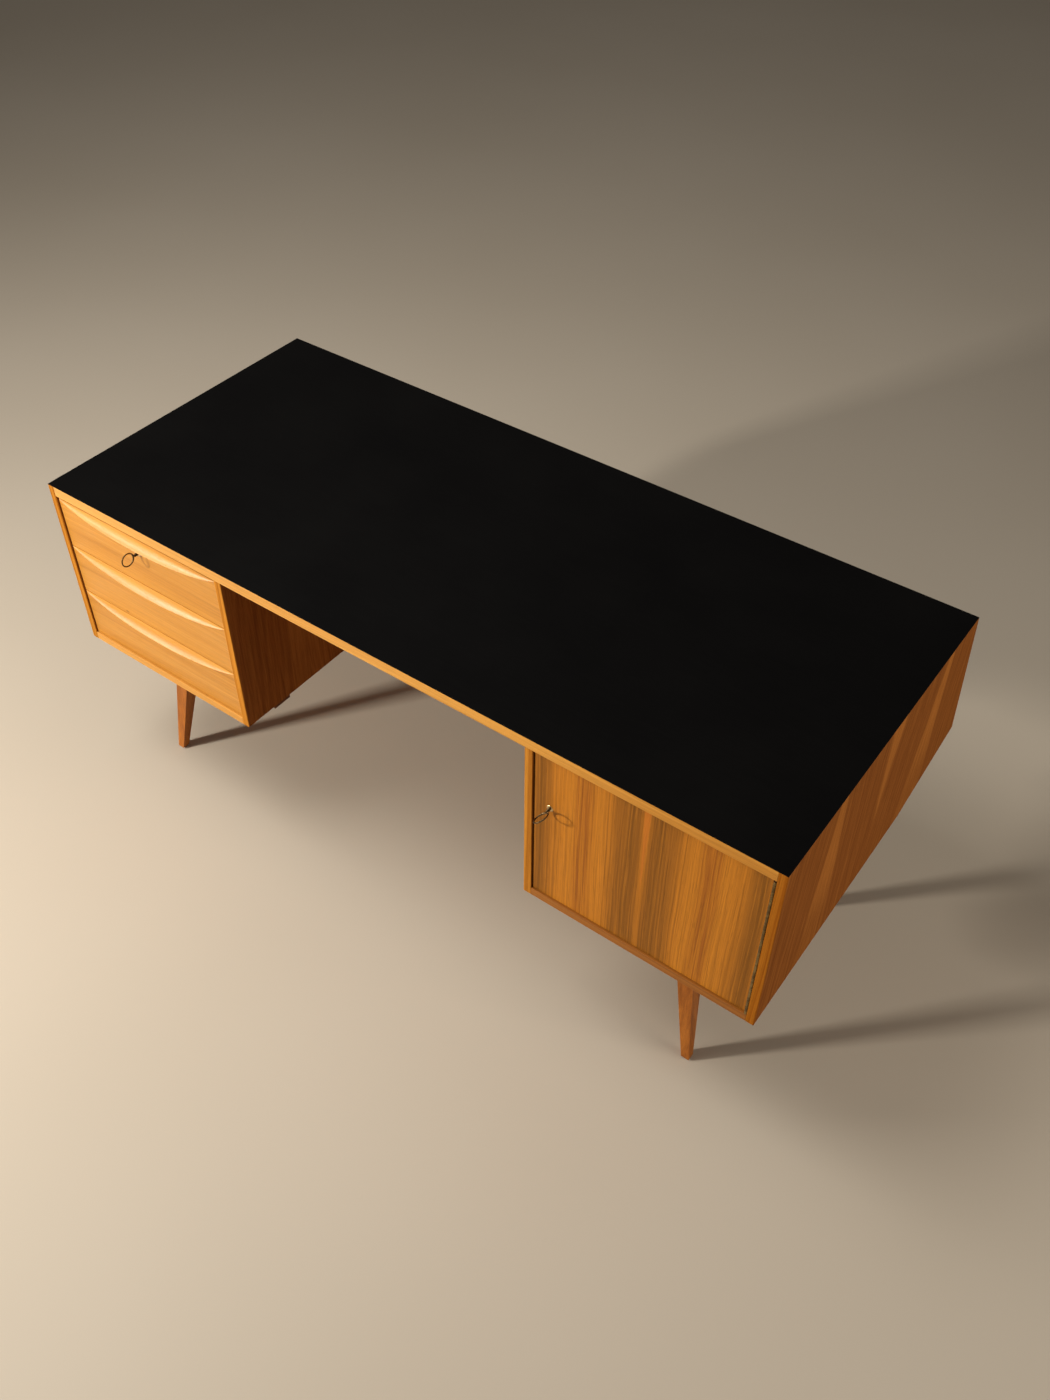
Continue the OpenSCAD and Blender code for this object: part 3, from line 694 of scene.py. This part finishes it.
def drawer_front(name):
    """A front as one loft: the grip's profile, deepest in the middle, over a flat board."""
    node = name + "_front"
    lo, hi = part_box(node)
    face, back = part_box("door_panel")[0].y, hi.y
    profile = grip_profile(face - lo.y)
    middle, half = (lo.x + hi.x) / 2, (hi.x - lo.x) / 2
    bm = bmesh.new()
    columns = []
    for i in range(COLUMNS + 1):
        turn = math.pi * (i / COLUMNS - 0.5)
        scale = max(math.cos(turn) ** GRIP_FULLNESS, LEAST_GRIP)
        x = middle + half * math.sin(turn)
        column = [bm.verts.new((x, face - out * scale, hi.z - down * scale))
                  for out, down in profile]
        column.append(bm.verts.new((x, face, lo.z)))
        column.append(bm.verts.new((x, back, lo.z)))
        column.append(bm.verts.new((x, back, hi.z)))
        columns.append(column)
    rows = len(columns[0])
    for one, two in zip(columns, columns[1:]):
        for j in range(rows):
            k = (j + 1) % rows
            bm.faces.new((one[j], one[k], two[k], two[j]))
    bm.faces.new(columns[0])
    bm.faces.new(columns[-1][::-1])
    bmesh.ops.recalc_face_normals(bm, faces=bm.faces)
    foot, rear, top = len(profile), len(profile) + 1, len(profile) + 2
    arrises = set()
    for one, two in zip(columns, columns[1:]):
        for j in (0, foot, rear, top):
            arrises.add(bm.edges.get((one[j], two[j])))
    for column in (columns[0], columns[-1]):
        for j, k in ((foot - 1, foot), (foot, rear), (rear, top), (top, 0)):
            arrises.add(bm.edges.get((column[j], column[k])))
    bmesh.ops.bevel(bm, geom=list(arrises), offset=FRONT_ARRIS, segments=2, profile=0.5,
                    affect="EDGES", clamp_overlap=True)
    add_piece(node + "_carved", bm, MATERIALS["drawer_front_wood"], BODY_OF[node],
              (node,), 24.0, True)


for drawer in ("top_drawer", "middle_drawer", "lower_drawer"):
    drawer_front(drawer)


# ---- keys, roses, glides and screws ----------------------------------------------------------

KEY_WIRE_R = 1.25 * MM
KEY_RING_R = 14.0 * MM
WIRE_SCALE = 1.1        # the ring's wire is drawn this many times as thick
BIT_HEIGHT = 8.0 * MM
BIT_THICKNESS = 1.8 * MM
# (along, radius) from the ring's root: the neck, a small bead, a large bead, the shank
KEY_TURNING = [
    (-0.0012, 0.0), (-0.0012, 0.0014), (0.0002, 0.0021), (0.0016, 0.0017), (0.0023, 0.0016),
    (0.0034, 0.0027), (0.0042, 0.0030), (0.0050, 0.0027), (0.0056, 0.0019), (0.0062, 0.0018),
    (0.0067, 0.0033), (0.0076, 0.0038), (0.0085, 0.0034), (0.0089, 0.0025), (0.0095, 0.0025)]
# (along, up) with one notch
KEY_BIT = [(0.0, 0.0015), (0.0020, 0.0015), (0.0020, BIT_HEIGHT), (0.0013, BIT_HEIGHT),
           (0.0013, 0.0058), (0.0007, 0.0058), (0.0007, BIT_HEIGHT), (0.0, BIT_HEIGHT)]


def add_key(node):
    """A ring bow on a turned shank with beads, and a notched bit inside the lock."""
    lo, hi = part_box(node)
    axis_x, axis_z = (lo.x + hi.x) / 2, (lo.z + hi.z) / 2
    # The ring's plane, from how wide and how high the key's box is
    tilt_x, tilt_z = (hi.x - lo.x) / 2 - KEY_WIRE_R, (hi.z - lo.z) / 2 - KEY_WIRE_R
    upright = tilt_x < 0.4 * tilt_z
    inwards = Vector((0, 1, 0))
    plane = Vector((0, 0, 1)) if upright else Vector((tilt_x, 0, tilt_z)).normalized()
    bow_y = lo.y + KEY_RING_R + KEY_WIRE_R
    root_y = bow_y + KEY_RING_R
    length = hi.y - root_y
    bm = bmesh.new()
    torus(bm, Vector((axis_x, bow_y, axis_z)), inwards, plane, KEY_RING_R,
          KEY_WIRE_R * WIRE_SCALE, swell=0.5)
    tip = [(length - 0.0006, 0.0025), (length, 0.0019), (length, 0.0)]
    lathe(bm, KEY_TURNING + tip, Matrix.Translation((axis_x, root_y, axis_z)))
    # The bit points up on the upright key and down on the tilted one
    bit_up = plane if upright else -plane
    basis = Matrix((inwards, bit_up, inwards.cross(bit_up))).transposed().to_4x4()
    bit_at = Matrix.Translation((axis_x, hi.y - 2.0 * MM, axis_z))
    prism(bm, KEY_BIT, BIT_THICKNESS, bit_at @ basis)
    add_piece(node + "_turned", bm, KEY_BRASS, BODY_OF[node], (node,), 32.0, True)


def add_rose(node):
    """A small domed disc round the keyhole with its bush through the wood."""
    lo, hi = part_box(node)
    rose_r, length = (hi.x - lo.x) / 2, hi.y - lo.y
    bore, bush = 2.56 * MM, 4.0 * MM
    profile = [(0.0012, bore), (0.0, bore + 0.0003), (0.0, bore + 0.0012),
               (0.0004, rose_r - 0.0012), (0.0009, rose_r - 0.0003), (0.0012, rose_r),
               (0.0013, bush), (length, bush), (length, bore), (0.0012, bore)]
    bm = bmesh.new()
    lathe(bm, profile, Matrix.Translation(((lo.x + hi.x) / 2, lo.y, (lo.z + hi.z) / 2)), 56)
    bmesh.ops.remove_doubles(bm, verts=bm.verts, dist=1e-7)
    add_piece(node + "_turned", bm, ROSE_BRASS, BODY_OF[node], (node,), 30.0, True)


def add_glides():
    """A domed glide under each foot."""
    lo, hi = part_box("leg_glides")
    bm = bmesh.new()
    r, h = 7.0 * MM, hi.z - lo.z
    chamfer = 0.6 * MM
    profile = [(0.0, 0.0), (0.0, r * 0.72), (0.0004, r * 0.90), (0.0012, r), (h - chamfer, r),
               (h, r - chamfer), (h, 0.0)]
    stand_up = Matrix.Rotation(math.radians(90), 4, "X")
    for x in (lo.x + r, hi.x - r):
        for y in (lo.y + r, hi.y - r):
            lathe(bm, profile, Matrix.Translation((x, y, lo.z)) @ stand_up)
    add_piece("leg_glides_domed", bm, STEEL, "carcass", ("leg_glides",),
              30.0, True)


def islands(node):
    """The boxes of a node's separate solids, sorted."""
    bm = welded_copy(node)
    seen, boxes = set(), []
    for start in bm.verts:
        if start in seen:
            continue
        stack, group = [start], []
        seen.add(start)
        while stack:
            v = stack.pop()
            group.append(v.co.copy())
            for e in v.link_edges:
                w = e.other_vert(v)
                if w not in seen:
                    seen.add(w)
                    stack.append(w)
        low = Vector(min(c[i] for c in group) for i in range(3))
        high = Vector(max(c[i] for c in group) for i in range(3))
        boxes.append((low, high))
    bm.free()
    return sorted(boxes, key=lambda b: tuple(round(c, 4) for c in b[0]))


def slotted_head(bm, matrix, radius, thick):
    """A closed disc with a slot across it: its face at the origin, its body along +Y."""
    slot_half, slot_deep, steps = radius * 0.13, thick * 0.45, 36
    halves = []
    for sign in (1, -1):
        rings = []
        for depth, r in ((0.0, radius * 0.97), (thick * 0.12, radius), (slot_deep, radius),
                         (thick, radius)):
            edge = math.asin(slot_half / r)
            arc = [edge + (math.pi - 2 * edge) * i / steps for i in range(steps + 1)]
            rings.append([bm.verts.new(matrix @ Vector((sign * r * math.cos(a), depth,
                                                        sign * r * math.sin(a))))
                          for a in arc])
        for upper, lower in zip(rings, rings[1:]):
            for i in range(steps):
                bm.faces.new((upper[i], upper[i + 1], lower[i + 1], lower[i]))
        face, chamfer, floor, _ = rings
        bm.faces.new(face)
        bm.faces.new((face[0], face[-1], chamfer[-1], floor[-1], floor[0], chamfer[0]))
        halves.append(rings)
    for one, two in (halves, halves[::-1]):
        bm.faces.new((one[2][-1], two[2][0], two[3][0], one[3][-1]))
    one, two = halves
    bm.faces.new((one[2][0], one[2][-1], two[2][0], two[2][-1]))
    bm.faces.new(one[3] + two[3])


def screw_into(bm, matrix, head_r, head_t, shaft_r, length):
    """A slotted flat-head screw: head face at the origin, shaft along the matrix's +Y."""
    slotted_head(bm, matrix, head_r, head_t)
    pitch = 1.4 * MM
    root = head_t * 0.7
    thread = [(root, 0.0), (root, shaft_r)]
    for i in range(int((length - head_t - shaft_r * 2) / pitch)):
        along = head_t + shaft_r * 0.4 + i * pitch
        thread += [(along, shaft_r * 0.78), (along + pitch * 0.5, shaft_r)]
    thread += [(length - shaft_r * 1.6, shaft_r * 0.75), (length, 0.0)]
    lathe(bm, thread, matrix, 24)


def add_screws(node, material, into):
    """Screws in the place of a node's solids; into is the way that they point."""
    axis = max(range(3), key=lambda i: abs(into[i]))
    bm = bmesh.new()
    for low, high in islands(node):
        length = high[axis] - low[axis]
        across = (axis + 1) % 3
        head_r = (high[across] - low[across]) / 2
        small = head_r < 3 * MM
        head_t = 1.0 * MM if small else 3.5 * MM
        shaft_r = head_r * (0.53 if small else 0.475)
        origin = (low + high) / 2
        origin[axis] = low[axis] if into[axis] > 0 else high[axis]
        turn = Vector((0, 1, 0)).rotation_difference(into).to_matrix().to_4x4()
        # Each slot points its own way, worked out from the screw's place
        spin = Matrix.Rotation(37.0 * (origin.x + origin.y * 3 + origin.z * 7), 4, "Y")
        screw_into(bm, Matrix.Translation(origin) @ turn @ spin, head_r, head_t, shaft_r, length)
    add_piece(node + "_slotted", bm, material, BODY_OF[node], (node,), 30.0, True)


add_key("drawer_key")
add_key("door_key")
add_rose("drawer_escutcheon")
add_rose("door_escutcheon")
add_glides()
add_screws("rail_screws", STEEL, Vector((0, 0, 1)))
add_screws("hinge_side_screws", BRASS_WITH_PAINTED_SHADE, Vector((1, 0, 0)))
add_screws("hinge_door_screws", BRASS_WITH_PAINTED_SHADE, Vector((-1, 0, 0)))


# ---- floor -----------------------------------------------------------------------------

def add_floor():
    """A plain square under the desk, for the pictures only."""
    half_side = 14.0
    bm = bmesh.new()
    bmesh.ops.create_grid(bm, x_segments=1, y_segments=1, size=half_side)
    mesh = bpy.data.meshes.new("floor")
    bm.to_mesh(mesh)
    bm.free()
    mesh.materials.append(floor_paint())
    floor = bpy.data.objects.new("floor", mesh)
    bpy.context.scene.collection.objects.link(floor)


add_floor()
